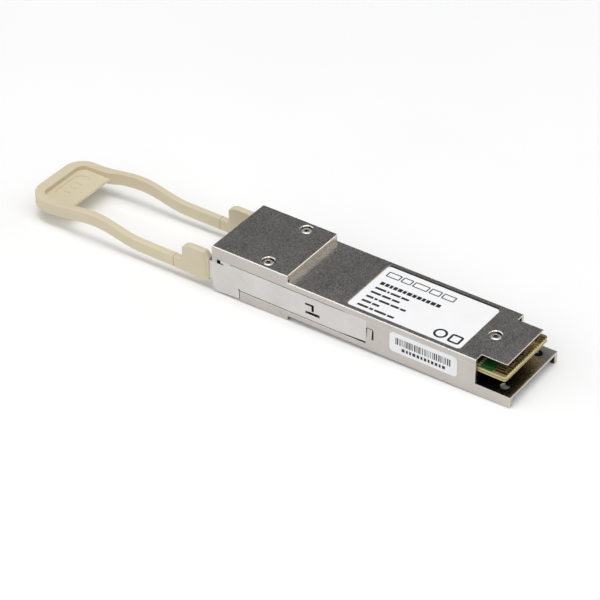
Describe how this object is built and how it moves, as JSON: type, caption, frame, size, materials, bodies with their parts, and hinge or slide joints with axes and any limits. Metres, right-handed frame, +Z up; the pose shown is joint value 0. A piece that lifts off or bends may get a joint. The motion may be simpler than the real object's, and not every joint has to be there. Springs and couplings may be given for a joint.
{
  "type": "optical transceiver module",
  "caption": "Slim pluggable optical transceiver module: plated metal shell with a raised nose, gold contact edge at the rear and a sprung plastic pull tab that slides the release bracket.",
  "frame": {"origin": "on the centreline of the underside, in the plane of the nose shoulder that stops against the front of the cage", "axes": "+X along the module towards the contact edge that plugs in, +Y across the module, +Z up through the face that takes the heat sink"},
  "size_m": [0.1236, 0.0185, 0.0112],
  "materials": {
    "die_cast_shell": "satin",
    "bracket_steel": "satin",
    "tab_plastic": "satin",
    "spring_steel": "satin",
    "screw_steel": "satin",
    "board_laminate": "satin",
    "contact_gold": "polished",
    "port_plastic": "satin",
    "gasket_foam": "matte",
    "ferrule_plastic": "satin",
    "boot_rubber": "matte",
    "ribbon_jacket": "gloss",
    "lens_plastic": "gloss",
    "submount_metal": "satin",
    "chip_die": "gloss",
    "pad_silicone": "matte",
    "chip_package": "matte",
    "inductor_body": "matte",
    "capacitor_ceramic": "satin",
    "label_paper": "satin"
  },
  "bodies": {
    "shell": {"bottom_housing": "die_cast_shell", "top_housing": "die_cast_shell", "return_springs": "spring_steel", "nose_screws": "screw_steel", "rear_screw": "screw_steel", "circuit_board": "board_laminate", "contact_pads_top": "contact_gold", "contact_pads_bottom": "contact_gold", "optical_receptacle": "port_plastic", "receptacle_gasket": "gasket_foam", "shell_gaskets": "gasket_foam", "ferrule_holder": "port_plastic", "fibre_ferrule": "ferrule_plastic", "alignment_pins": "screw_steel", "pin_keeper": "spring_steel", "ferrule_boot": "boot_rubber", "fibre_ribbon": "ribbon_jacket", "lens_block": "lens_plastic", "optics_submount": "submount_metal", "laser_array": "chip_die", "photodiode_array": "chip_die", "laser_driver": "chip_die", "receiver_amplifier": "chip_die", "thermal_pad": "pad_silicone", "controller_chip": "chip_package", "power_inductors": "inductor_body", "filter_capacitors": "capacitor_ceramic", "coupling_capacitors": "capacitor_ceramic", "resistors": "chip_package", "top_label": "label_paper", "side_label": "label_paper"},
    "release": {"pull_slider": "bracket_steel", "pull_tab": "tab_plastic"}
  },
  "joints": [
    {"name": "release_slide", "type": "slide", "parent": "shell", "child": "release", "axis": [1, 0, 0], "range_m": [-0.002, 0], "stiffness_N_per_m": 900, "springref_m": 0.002, "deforming": ["return_springs"]}
  ]
}
